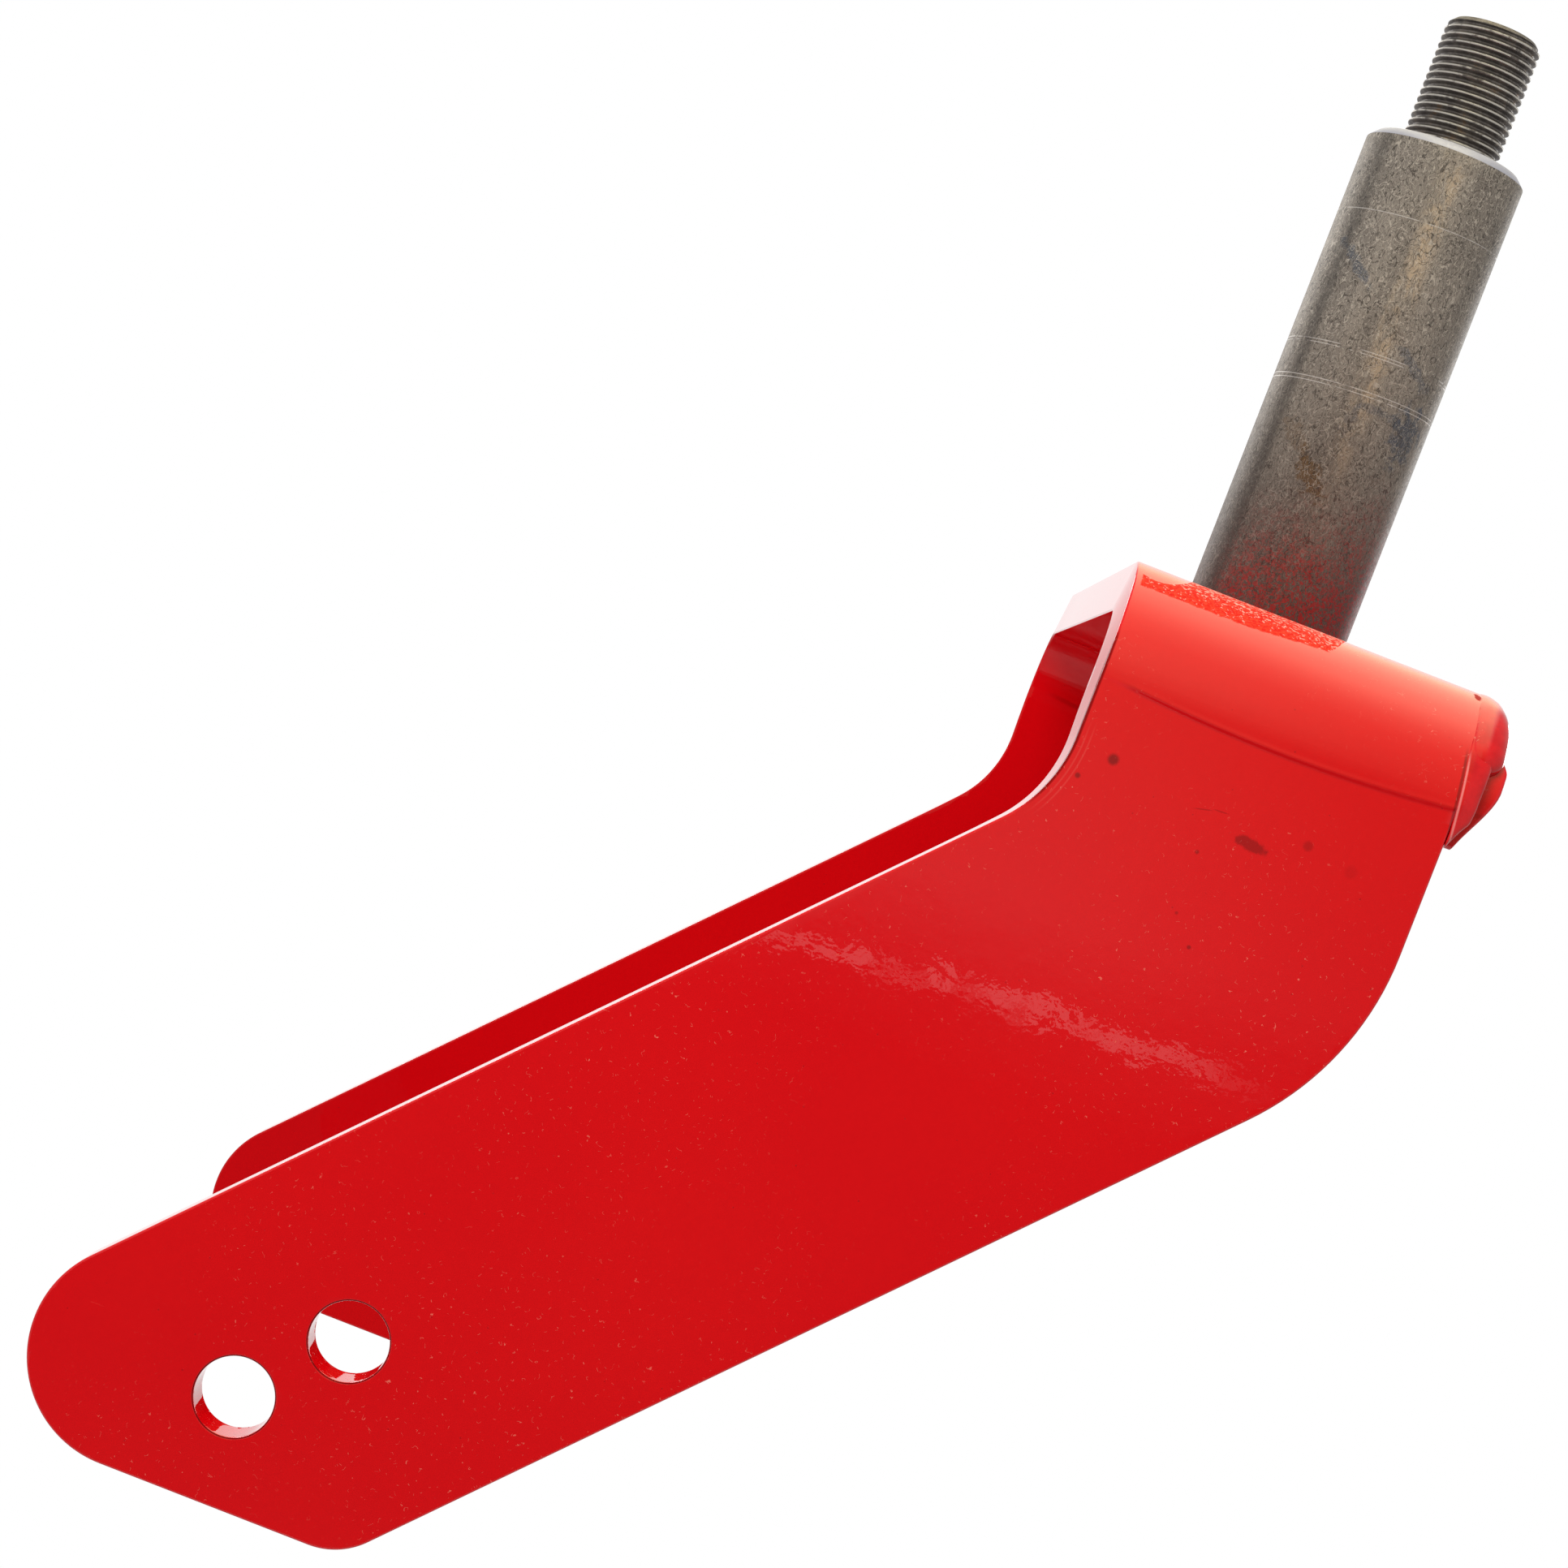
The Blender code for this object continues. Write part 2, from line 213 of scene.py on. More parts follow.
# ---------------------------------------------------------------- material helpers
class Nodes:
    """Short names for building one node tree, a material's or the world's."""

    def __init__(self, owner, place="Object"):
        self.owner = owner
        self.tree = owner.node_tree
        self.place = self.add("ShaderNodeTexCoord").outputs[place]
        parts = self.add("ShaderNodeSeparateXYZ")
        self.feed(parts.inputs[0], self.place)
        self.x, self.y, self.z = parts.outputs

    def add(self, kind, **settings):
        node = self.tree.nodes.new(kind)
        for key, value in settings.items():
            setattr(node, key, value)
        return node

    def feed(self, socket, value):
        if isinstance(value, bpy.types.NodeSocket):
            self.tree.links.new(value, socket)
        else:
            socket.default_value = value

    def surface(self, name, value):
        """Feed one input of the material's shader."""
        self.feed(self.tree.nodes["Principled BSDF"].inputs[name], value)

    def math(self, operation, *values):
        node = self.add("ShaderNodeMath", operation=operation)
        for socket, value in zip(node.inputs, values):
            self.feed(socket, value)
        return node.outputs[0]

    def fold(self, operation, first, *others):
        for value in others:
            first = self.math(operation, first, value)
        return first

    def times(self, *values):
        return self.fold("MULTIPLY", *values)

    def plus(self, *values):
        return self.fold("ADD", *values)

    def minus(self, a, b):
        return self.math("SUBTRACT", a, b)

    def most(self, *values):
        return self.fold("MAXIMUM", *values)

    def hypot(self, a, b):
        return self.math("SQRT", self.plus(self.times(a, a), self.times(b, b)))

    def span(self, value, low, high, to_low=0.0, to_high=1.0):
        """Smooth map of value from low..high to to_low..to_high."""
        node = self.add("ShaderNodeMapRange", interpolation_type="SMOOTHSTEP")
        for socket, number in zip(node.inputs, (value, low, high, to_low, to_high)):
            self.feed(socket, number)
        return node.outputs[0]

    def fall(self, value, low, high):
        """1 below low, 0 above high."""
        return self.span(value, low, high, 1.0, 0.0)

    def line(self, value, middle, core, edge):
        """1 within core of the middle value, fading to 0 at edge from it."""
        return self.fall(self.math("ABSOLUTE", self.minus(value, middle)), core, edge)

    def noise(self, scale, detail=2.0, rough=0.5, distortion=0.0, stretch=None):
        """Noise by features per metre; stretch multiplies the scale along x, y, z."""
        where = self.place
        if stretch:
            squeeze = self.add("ShaderNodeMapping")
            self.feed(squeeze.inputs["Vector"], where)
            squeeze.inputs["Scale"].default_value = stretch
            where = squeeze.outputs[0]
        node = self.add("ShaderNodeTexNoise")
        self.feed(node.inputs["Vector"], where)
        node.inputs["Scale"].default_value = scale
        node.inputs["Detail"].default_value = detail
        node.inputs["Roughness"].default_value = rough
        node.inputs["Distortion"].default_value = distortion
        return node.outputs[0]

    def wander(self, noise, amount):
        """A noise moved to lie about zero and scaled."""
        return self.times(self.minus(noise, 0.5), amount)

    def mix(self, amount, low, high):
        node = self.add("ShaderNodeMix", data_type="RGBA")
        self.feed(node.inputs[0], amount)
        self.feed(node.inputs[6], (*low, 1) if isinstance(low, tuple) else low)
        self.feed(node.inputs[7], (*high, 1) if isinstance(high, tuple) else high)
        return node.outputs[2]

    def over(self, colour, mask, strength, tint):
        """The colour with a tint laid over it where the mask is 1."""
        return self.mix(self.times(mask, strength), colour, tint)

    def bump(self, height, strength, distance, below=None):
        node = self.add("ShaderNodeBump")
        node.inputs["Strength"].default_value = strength
        node.inputs["Distance"].default_value = distance
        self.feed(node.inputs["Height"], height)
        if below:
            self.feed(node.inputs["Normal"], below)
        return node.outputs[0]

    def near(self, centre, radius, soft):
        """1 inside a ball about centre, fading over the outer part of its radius."""
        node = self.add("ShaderNodeVectorMath", operation="DISTANCE")
        self.feed(node.inputs[0], self.place)
        node.inputs[1].default_value = centre
        return self.fall(node.outputs["Value"], radius * (1 - soft), radius)

    def oval(self, centre, radii, degrees):
        """0 at the centre and 1 on an ellipsoid of these radii, turned about Y."""
        shape = self.add("ShaderNodeMapping", vector_type="TEXTURE")
        self.feed(shape.inputs["Vector"], self.place)
        shape.inputs["Location"].default_value = centre
        shape.inputs["Rotation"].default_value = (0, math.radians(-degrees), 0)
        shape.inputs["Scale"].default_value = radii
        reach = self.add("ShaderNodeVectorMath", operation="LENGTH")
        self.feed(reach.inputs[0], shape.outputs[0])
        return reach.outputs["Value"]

    def smear(self, across_mm, up_mm, length_mm, width_mm, degrees=0.0, ragged=0.6):
        """1 inside a ragged oval on the near side, placed and sized in millimetres, seen along Y."""
        endless = 1000.0
        reach = self.oval((across_mm * MM, 0, up_mm * MM), (length_mm * MM, endless, width_mm * MM), degrees)
        torn = self.wander(self.noise(620, 3), ragged * 2)
        inside = self.fall(self.plus(reach, torn), 0.55, 1.05)
        return self.times(inside, self.fall(self.y, -6 * MM, -4 * MM))

    def specks(self, scale, size):
        """Sparse round specks: 1 inside a speck, one in a random place per cell."""
        cells = self.add("ShaderNodeTexVoronoi")
        self.feed(cells.inputs["Vector"], self.place)
        cells.inputs["Scale"].default_value = scale
        tone = self.add("ShaderNodeSeparateColor")
        self.feed(tone.inputs[0], cells.outputs["Color"])
        reach = self.times(self.span(tone.outputs[0], 0.55, 1.0), size)
        return self.math("LESS_THAN", cells.outputs["Distance"], reach)

    def crossings(self, noise, width):
        """Thin curved lines where a noise passes through its middle value."""
        return self.line(noise, 0.5, width * 0.4, width)


def material_nodes(name):
    made = bpy.data.materials.new(name)
    made.use_nodes = True
    return Nodes(made)


# ---------------------------------------------------------------- paint on the plate
DUST_PINK = (0.85, 0.28, 0.20)
CHIP_RED = (0.30, 0.0005, 0.0010)
CHIP = (29.8, -1.25, 0.85, 0.75)      # the chip over the weld: place and size, millimetres
PAINT_IOR = 1.5


def on_near_face(n):
    """1 on the near leg's outside face."""
    return n.fall(n.y, -HALF + 1 * MM, -HALF + 2 * MM)


def press_mark_shade(n):
    """Painted shade along the press-brake mark where the near leg starts, bowed down towards the strip's middle.
    """
    across = n.times(n.minus(n.x, STRIP_MIDDLE), 2 / STRIP_WIDTH)
    bow = n.minus(1.0, n.times(across, across))
    height = n.plus(n.z, n.plus(BEND_OUTER - 0.30 * MM, n.times(bow, CREASE_BOW)))
    mark = n.fall(n.math("ABSOLUTE", height), 0.15 * MM, 0.75 * MM)
    return n.times(mark, n.span(n.x, CROWN_FRONT + 2.5 * MM, CROWN_FRONT + 7 * MM))


def stains(n):
    """Round stains and craters on the near leg, and one ragged smudge."""
    spots = ((-25.4, -33.9, 1.3, 1.0), (-30.0, -38.5, 0.65, 0.9), (10.1, -35.6, 1.2, 0.5), (-6.8, -43.2, 0.5, 0.7),
             (-2.3, -58.5, 0.5, 0.8), (-6.3, -53.9, 0.4, 0.6), (18.3, -37.1, 1.5, 0.2))
    stain = 0.0
    for across_mm, up_mm, radius_mm, strength in spots:
        spot = n.near((across_mm * MM, -HALF, up_mm * MM), radius_mm * MM, 0.6)
        stain = n.most(stain, n.times(spot, strength))
    smudge = n.oval((0.9 * MM, -HALF, -38.8 * MM), (3.6 * MM, 5 * MM, 1.3 * MM), -8)
    smudge = n.fall(n.plus(smudge, n.wander(n.noise(900, 3), 0.9)), 0.6, 1.0)
    return n.most(stain, n.times(smudge, 0.75))


def bead_edge(n):
    """X of the bead's edge on the leg: it leans forward as it rises."""
    return n.plus(n.times(n.z, -0.114), 28.2 * MM)


def bead_edge_shade(n):
    """Thin painted-shade line along the bead's edge, where the weld steps down to the leg."""
    edge_shade_line = n.line(n.x, bead_edge(n), 0.10 * MM, 0.40 * MM)
    return n.times(edge_shade_line, n.fall(n.z, -13 * MM, -10 * MM), n.span(n.z, -28.5 * MM, -26.5 * MM))


def dry_patch_and_reflection(n):
    """Dry, granular paint on the bend in front of the spindle, crisp at its front end; its bright orange is also a
    painted reflection of the red weld round the spindle's base.
    """
    lower = n.plus(n.span(n.x, -13 * MM, 2 * MM, -4.6 * MM, -3.6 * MM), n.span(n.x, 2 * MM, 7 * MM, 0.0, 4 * MM))
    above = n.minus(n.z, n.plus(lower, n.wander(n.noise(700, 3, 0.6), 0.7 * MM)))
    dry_and_reflected = n.times(n.span(above, -0.12 * MM, 0.12 * MM), n.span(n.x, -31.4 * MM, -31.1 * MM))
    from_dip_mm = n.times(n.plus(n.x, 28.7 * MM), 1 / MM)
    upper = n.times(n.minus(n.times(from_dip_mm, from_dip_mm, 0.065), 2.8), MM)
    bare = n.times(n.span(n.minus(n.z, upper), -0.1 * MM, 0.1 * MM), n.fall(n.x, -23 * MM, -21 * MM))
    return n.times(dry_and_reflected, n.minus(1.0, bare), n.fall(n.y, -CROWN_HALF - 3 * MM, -CROWN_HALF - 1 * MM))


def hole_rims(n):
    """Line round each hole's outer edge, where the paint drew back."""
    rims = 0.0
    for hole in AXLES:
        reach = n.hypot(n.minus(n.x, hole.x), n.minus(n.z, hole.y))
        rims = n.most(rims, n.line(reach, AXLE_RADIUS + 0.10 * MM, 0.08 * MM, 0.26 * MM))
    return n.times(rims, n.fall(n.y, -HALF + 0.1 * MM, -HALF + 0.3 * MM))


def front_edge(n):
    """Two masks behind the near leg's front edge: painted shade along the arris, and two faint painted highlight
    lines beside it.
    """
    elbow_corner = meet(Vector((CROWN_FRONT, 0)), Vector((0, 1)), *leg_edge(1))
    elbow_z = elbow_corner.y + FRONT_ELBOW * math.tan((math.pi / 2 - LEG_SLOPE) / 2)
    below = n.math("MINIMUM", n.minus(n.z, elbow_z), 0.0)
    behind = n.minus(n.hypot(n.minus(n.x, CROWN_FRONT - FRONT_ELBOW), below), FRONT_ELBOW)
    high = n.span(n.z, elbow_z - 16 * MM, elbow_z - 10 * MM)
    arris_shade = n.times(n.fall(behind, 0.25 * MM, 0.55 * MM), n.span(behind, -0.25 * MM, -0.05 * MM))
    edge_highlights = n.most(*(n.line(behind, place * MM, 0.05 * MM, 0.22 * MM) for place in (1.3, 2.2)))
    return (n.times(arris_shade, high, on_near_face(n)),
            n.times(edge_highlights, high, n.fall(n.z, -34 * MM, -28 * MM), on_near_face(n)))


def dust_on_paint(n):
    """Fine hairs and nibs, denser on the broad part of the leg."""
    hairs = n.times(n.crossings(n.noise(900, 0.0, distortion=0.6), 0.013), n.span(n.noise(1170, 0.0), 0.65, 0.68))
    patches = n.span(n.noise(24, 2), 0.36, 0.62)
    return n.most(n.times(hairs, patches), n.times(n.specks(300, 0.038), patches))


def gloss_paint():
    """Red gloss enamel on plate: slight orange peel, dust nibs, hairs, craters and a few stains."""
    n = material_nodes("red_gloss_paint")
    colour = n.mix(n.span(n.noise(14, 3, 0.5), 0.3, 0.7), (0.590, 0.0014, 0.0040), (0.615, 0.0026, 0.0044))
    colour = n.mix(n.span(n.noise(900, 2, 0.6), 0.35, 0.65, 0.0, 0.12), colour, (0.50, 0.0010, 0.0040))
    # painted shade darkens the crease along the press-brake mark
    colour = n.over(colour, press_mark_shade(n), 0.6, (0.37, 0.0005, 0.0016))
    colour = n.over(colour, stains(n), 0.95, (0.22, 0.0004, 0.0016))
    chip = n.smear(*CHIP)
    colour = n.over(colour, chip, 0.9, CHIP_RED)
    # painted shade in the step along the weld bead's edge
    colour = n.over(colour, bead_edge_shade(n), 0.7, (0.16, 0.0004, 0.0020))

    # rough granular paint, coloured brighter orange as a painted reflection of the red weld at the spindle's base
    dry_and_reflected = dry_patch_and_reflection(n)
    grain = n.noise(1500, 2, 0.7)
    colour = n.mix(dry_and_reflected, colour, n.mix(n.span(grain, 0.38, 0.62), (0.56, 0.0060, 0.0022), (0.74, 0.0330, 0.0120)))
    # painted glare: the patch's top edge is paler, a painted grazing reflection
    grazing_glare = n.plus(n.noise(1350, 2, 0.7), n.times(n.z, 34.0))
    colour = n.over(colour, n.times(n.span(grazing_glare, 0.47, 0.55), dry_and_reflected), 0.55, (0.85, 0.50, 0.42))

    rims = hole_rims(n)
    colour = n.over(colour, rims, 0.8, (0.04, 0.002, 0.003))

    # Painted shade on the inside of the far leg, where the near leg and crown shade it, fading out towards the
    # bend; it is also less shiny there
    inside = n.times(n.span(n.y, 40 * MM, 70 * MM), n.fall(n.y, HALF - PLATE + 1 * MM, HALF - PLATE + 2 * MM))
    colour = n.over(colour, inside, n.span(n.z, -60 * MM, -12 * MM, 0.15, 0.0), (0.02, 0.0, 0.001))

    arris_shade, edge_highlights = front_edge(n)
    # painted shade along the rounded front arris
    colour = n.over(colour, arris_shade, 0.85, (0.16, 0.004, 0.003))
    # two faint painted highlights beside the front edge
    colour = n.over(colour, edge_highlights, 0.10, (0.80, 0.20, 0.16))
    crack = n.most(n.smear(-8.4, -36.2, 2.0, 0.14, 14, 0.2), n.smear(-5.5, -35.5, 1.6, 0.14, 3, 0.2))
    colour = n.over(colour, crack, 0.5, (0.22, 0.0005, 0.0010))

    dust = n.times(dust_on_paint(n), n.minus(1.0, inside))
    pits = n.specks(420, 0.075)
    colour = n.over(colour, dust, 0.42, DUST_PINK)
    colour = n.over(colour, pits, 0.45, (0.26, 0.0, 0.002))
    n.surface("Base Color", colour)

    coarse = n.most(dry_and_reflected, chip)
    rough = n.plus(n.span(n.noise(60, 3), 0.3, 0.7, 0.008, 0.018), n.times(dust, 0.15))
    n.surface("Roughness", n.plus(rough, n.times(coarse, 0.55)))
    dull = n.most(coarse, n.most(arris_shade, rims))
    n.surface("Specular IOR Level", n.minus(0.5, n.plus(n.times(dull, 0.44), n.times(inside, 0.25))))
    peel = n.bump(n.noise(280, 3, 0.5), 1.0, 0.0075 * MM)
    wave = n.bump(n.noise(38, 2, 0.5), 1.0, 0.012 * MM, peel)
    gritty = n.bump(n.times(grain, dry_and_reflected), 0.6, 0.12 * MM, wave)
    n.surface("Normal", n.bump(n.minus(dust, pits), 0.5, 0.02 * MM, gritty))
    n.surface("IOR", PAINT_IOR)
    return n.owner


def weld_paint():
    """The same red over the weld: smooth and flooded, with a few gritty places."""
    n = material_nodes("red_paint_on_weld")
    colour = n.mix(n.span(n.noise(260, 3, 0.6), 0.38, 0.62), (0.48, 0.0012, 0.0034), (0.57, 0.0030, 0.0050))
    gritty = n.times(n.span(n.noise(1900, 2, 0.7), 0.64, 0.72), n.span(n.noise(190, 2), 0.52, 0.64))
    colour = n.over(colour, gritty, 0.4, DUST_PINK)
    chip = n.smear(*CHIP)
    colour = n.over(colour, chip, 0.9, CHIP_RED)
    # painted highlight along the band's left edge, beside the weld's step
    band_edge_highlight = n.line(n.minus(n.x, bead_edge(n)), 0.55 * MM, 0.05 * MM, 0.30 * MM)
    band_edge_highlight = n.times(band_edge_highlight, n.fall(n.z, -14 * MM, -10 * MM), n.fall(n.y, -96 * MM, -95 * MM))
    n.surface("Base Color", n.over(colour, band_edge_highlight, 0.45, (0.85, 0.35, 0.33)))
    n.surface("Roughness", n.plus(n.span(n.noise(400, 2), 0.3, 0.7, 0.05, 0.16), n.times(chip, 0.5)))
    n.surface("Specular IOR Level", n.minus(0.40, n.times(chip, 0.36)))
    ripples = n.bump(n.noise(300, 2, 0.5, 0.4), 0.15, 0.08 * MM)
    n.surface("Normal", n.bump(gritty, 0.25, 0.03 * MM, ripples))
    n.surface("IOR", PAINT_IOR)
    return n.owner


# ---------------------------------------------------------------- spindle steel
BLUE_TINT = (0.070, 0.092, 0.125)
STRAW_TINT = (0.150, 0.075, 0.018)


def heat_tints(n, colour):
    """Blue smears high on the left and right, and straw-brown ones low down."""
    smears = (((-10.0, 72.4, 6.5, 1.1, -48, 1.0), BLUE_TINT, 0.60),
              ((7.8, 57.0, 6.8, 1.1, -33, 1.2), BLUE_TINT, 0.50),
              ((10.4, 45.0, 3.4, 6.5, 0, 1.2), BLUE_TINT, 0.80),
              ((4.5, 47.0, 5.8, 1.0, 0, 1.2), BLUE_TINT, 0.45),
              ((-0.8, 44.5, 1.6, 3.8, 0, 1.3), BLUE_TINT, 0.40),
              ((-8.2, 37.0, 6.0, 2.2, -46, 1.2), STRAW_TINT, 0.35),
              ((-4.0, 31.5, 6.0, 2.6, -56, 1.1), STRAW_TINT, 0.80))
    for smear, tint, strength in smears:
        colour = n.over(colour, n.smear(*smear), strength, tint)
    return colour


def felt_strokes(n, colour):
    """Short felted strokes, dark and light, from the bar's scale."""
    strokes = ((520, 0.030, (0.050, 0.042, 0.036), 0.75), (610, 0.024, (0.560, 0.500, 0.420), 0.60),
               (900, 0.040, (0.070, 0.060, 0.052), 0.55), (1000, 0.032, (0.480, 0.430, 0.360), 0.50))
    for scale, width, tone, strength in strokes:
        noisy = n.noise(scale, 0.5, distortion=1.6, stretch=(1, 1, 0.62))
        colour = n.over(colour, n.crossings(noisy, width), strength, tone)
    return colour


def bar_scratches(n):
    """Handling scratches run round the bar at a few heights, slightly tilted and worn away in places."""
    level = n.minus(n.z, n.times(n.x, 0.045))
    left = n.span(n.noise(170, 3, 0.7), 0.40, 0.52)
    scratches = 0.0
    for height_mm in (83.5, 57.1, 56.5, 49.8, 49.0):
        scratches = n.most(scratches, n.times(n.line(level, height_mm * MM, 0.03 * MM, 0.13 * MM), left))
    return scratches


def overspray(n, speck):
    """Red overspray creeping up from the crown, heavier on the rear side."""
    reach = n.plus(n.wander(n.noise(110, 4, 0.7), 26 * MM), n.times(n.x, 0.42))
    mist = n.fall(n.minus(n.z, reach), 2 * MM, 34 * MM)
    rearward = n.span(n.x, -14.5 * MM, -9.5 * MM, 0.05, 1.0)
    return n.times(mist, n.span(speck, 0.0, 1.0, 0.55, 1.0), rearward, 0.96)


def stud_colour(n, radius):
    """Thread: grime in the roots, bright crests."""
    crest = n.span(radius, STUD_RADIUS - 0.11 * MM, STUD_RADIUS - 0.02 * MM)
    worn = n.times(crest, n.span(n.noise(260, 3, 0.7), 0.36, 0.50))
    grime = n.mix(n.span(n.noise(420, 3, 0.7), 0.40, 0.65), (0.130, 0.115, 0.106), (0.220, 0.195, 0.175))
    grime = n.mix(n.span(n.noise(420, 2), 0.62, 0.74, 0.0, 0.45), grime, (0.26, 0.14, 0.05))
    return n.mix(worn, grime, (0.56, 0.53, 0.48))


def spindle_steel():
    """Dull brown-grey turned bar: felted grain, heat tints, scratches, overspray, a bright chamfer."""
    n = material_nodes("bare_spindle_steel")
    streak = n.noise(60, 4, 0.6, stretch=(1.6, 1.6, 0.28))
    colour = n.mix(n.span(streak, 0.36, 0.64), (0.195, 0.170, 0.145), (0.275, 0.240, 0.200))

    # A painted highlight: a warm streak down the middle of the near side
    facing = n.fall(n.y, -6 * MM, -2 * MM)
    warm = n.times(n.line(n.x, 0.4 * MM, 0.2 * MM, 3.6 * MM), facing,
                   n.span(n.noise(330, 4, 0.7, 0.8, stretch=(1, 1, 0.35)), 0.40, 0.62, 0.08, 0.75))
    colour = n.over(colour, warm, n.span(n.z, 20 * MM, 50 * MM), (0.520, 0.400, 0.270))
    colour = felt_strokes(n, heat_tints(n, colour))

    # Painted shade down its left side, and darker towards the weld
    left_side_shade = n.times(n.line(n.x, -12.9 * MM, 0.2 * MM, 1.5 * MM), facing)
    colour = n.over(colour, left_side_shade, 0.45, (0.050, 0.045, 0.042))
    colour = n.mix(n.span(n.z, 5 * MM, 80 * MM, 0.58, 0.0), colour, (0.040, 0.026, 0.020))

    scratches = bar_scratches(n)
    colour = n.over(colour, scratches, 0.6, (0.62, 0.58, 0.54))
    speck = n.span(n.noise(1300, 2, 0.6, 1.2), 0.40, 0.60)
    spray = overspray(n, speck)
    colour = n.mix(spray, colour, n.mix(speck, (0.045, 0.006, 0.004), (0.225, 0.005, 0.005)))

    # The machined chamfer and shoulder are cleaner and brighter than the bar
    chamfer_foot = SHOULDER - SHOULDER_CHAMFER
    clean = n.span(n.z, chamfer_foot - 0.10 * MM, chamfer_foot + 0.05 * MM)
    colour = n.mix(clean, colour, (0.50, 0.50, 0.58))
    radius = n.hypot(n.x, n.y)
    on_stud = n.times(n.fall(radius, STUD_RADIUS + 0.2 * MM, STUD_RADIUS + 0.5 * MM),
                      n.span(n.z, SHOULDER - 0.05 * MM, SHOULDER + 0.05 * MM))
    n.surface("Base Color", n.mix(on_stud, colour, stud_colour(n, radius)))

    felt = n.noise(1050, 3, 0.65, 2.2)
    n.surface("Metallic", n.plus(n.times(n.minus(1.0, spray), 0.45), n.times(clean, 0.35)))
    smoother = n.plus(n.span(felt, 0.3, 0.7, 0.66, 0.52), n.times(scratches, -0.1))
    n.surface("Roughness", n.plus(smoother, n.times(clean, -0.06)))
    n.surface("Specular IOR Level", 0.30)
    pores = n.bump(felt, 0.30, 0.05 * MM)
    turning = n.bump(n.noise(1, 2, 0.7, stretch=(60, 60, 5200)), 0.10, 0.02 * MM, pores)
    n.surface("Normal", n.bump(scratches, 0.25, 0.03 * MM, turning))
    return n.owner


def floor_surface():
    n = material_nodes("pale_floor")
    n.surface("Base Color", n.mix(n.noise(3, 2), (0.575, 0.600, 0.720), (0.595, 0.620, 0.745)))
    n.surface("Roughness", 0.9)
    return n.owner


paint = gloss_paint()
paint_on_weld = weld_paint()
steel = spindle_steel()


# ---------------------------------------------------------------- yoke
def leg_profile():
    """Side view of one leg as (x, z), from the front of the bend round the tip to the rear."""
    upright, level = Vector((0, 1)), Vector((1, 0))
    foot = Vector((0, LEG_BOTTOM))
    front = Vector((CROWN_FRONT, -BEND_OUTER))
    rear = Vector((CROWN_REAR, -BEND_OUTER))
    return rounded([
        (front, 0),
        (meet(front, upright, *leg_edge(1)), FRONT_ELBOW),
        (meet(foot, level, *leg_edge(1)), TIP_RADIUS),
        (meet(foot, level, *leg_edge(-1)), FOOT_RADIUS),
        (meet(rear, upright, *leg_edge(-1)), REAR_ELBOW),
        (rear, 0)])


def along_strip(z):
    """Distance from the crown's middle along the strip's outside, for a height on the leg."""
    return LEG_START - BEND_OUTER - SKIN - z


def bent(x, s, depth):
    """Where a point of the flat strip goes: s along the strip, depth below its outside face."""
    side = -1 if s < 0 else 1
    run = abs(s)
    if run <= CROWN_HALF:
        return Vector((x, s, -SKIN - depth))
    if run <= LEG_START:
        turn = (run - CROWN_HALF) / BEND_OUTER
        reach = BEND_OUTER - depth
        return Vector((x, side * (CROWN_HALF + reach * math.sin(turn)),
                       -SKIN - BEND_OUTER + reach * math.cos(turn)))
    return Vector((x, side * (HALF - depth), -SKIN - BEND_OUTER - (run - LEG_START)))


def front_rim(leg, place, height):
    """How far a point is from the leg's front edge, and the way out of that edge, by the bend and elbow."""
    if height > -BEND_OUTER:
        return place - CROWN_FRONT, Vector((-1, 0))
    best = (1.0, Vector((-1, 0)))
    here = Vector((place, height))
    for first, second in zip(leg, leg[1:]):
        if second.y < -80 * MM:
            break
        along = second - first
        if along.length < 1e-6:
            continue
        share = max(0.0, min(1.0, (here - first).dot(along) / along.length_squared))
        away = (here - first - along * share).length
        if away < best[0]:
            best = (away, Vector((along.y, -along.x)).normalized())
    return best


def crease_line(x):
    """The press-brake mark bows down a little towards the middle of the strip."""
    across = (x - STRIP_MIDDLE) / (STRIP_WIDTH / 2)
    return LEG_START - 0.75 * MM + CREASE_BOW * (1 - across * across)


def flat_strip(leg):
    """The strip before bending, with its five holes, as a bmesh cut into rows."""
    outline = [Vector((p.x, -along_strip(p.y))) for p in leg]
    outline += [Vector((p.x, along_strip(p.y))) for p in reversed(leg)]
    loops = [outline, ring(Vector((0, 0)), SPINDLE_RADIUS + 0.3 * MM, 72, clockwise=True)]
    for side in (-1, 1):
        for hole in AXLES:
            loops.append(ring(Vector((hole.x, side * along_strip(hole.y))), AXLE_RADIUS, 96, clockwise=True))
    shape = rounded_plate(loops, PLATE, EDGE_ROUND)

    # Rows across the strip: close in the bends and at the crease, coarser on the flats
    bend_rows = spaced(CROWN_HALF, LEG_START - 2 * MM, 0.9 * MM)
    crease_rows = spaced(LEG_START - 1.8 * MM, LEG_START + 2.4 * MM, 0.2 * MM)
    flat_rows = spaced(LEG_START + 3.4 * MM, along_strip(LEG_BOTTOM) - 1 * MM, 4 * MM)
    for side in (-1, 1):
        slice_at(shape, 1, [side * row for row in bend_rows + crease_rows + flat_rows])
    slice_at(shape, 1, spaced(-CROWN_HALF + 4 * MM, CROWN_HALF - 4 * MM, 4 * MM))
    slice_at(shape, 0, spaced(yoke_low[0] + 2 * MM, yoke_high[0] - 2 * MM, 3 * MM))
    slice_at(shape, 2, spaced(-PLATE / 2 + EDGE_ROUND, PLATE / 2 - EDGE_ROUND, 1.2 * MM))
    return shape


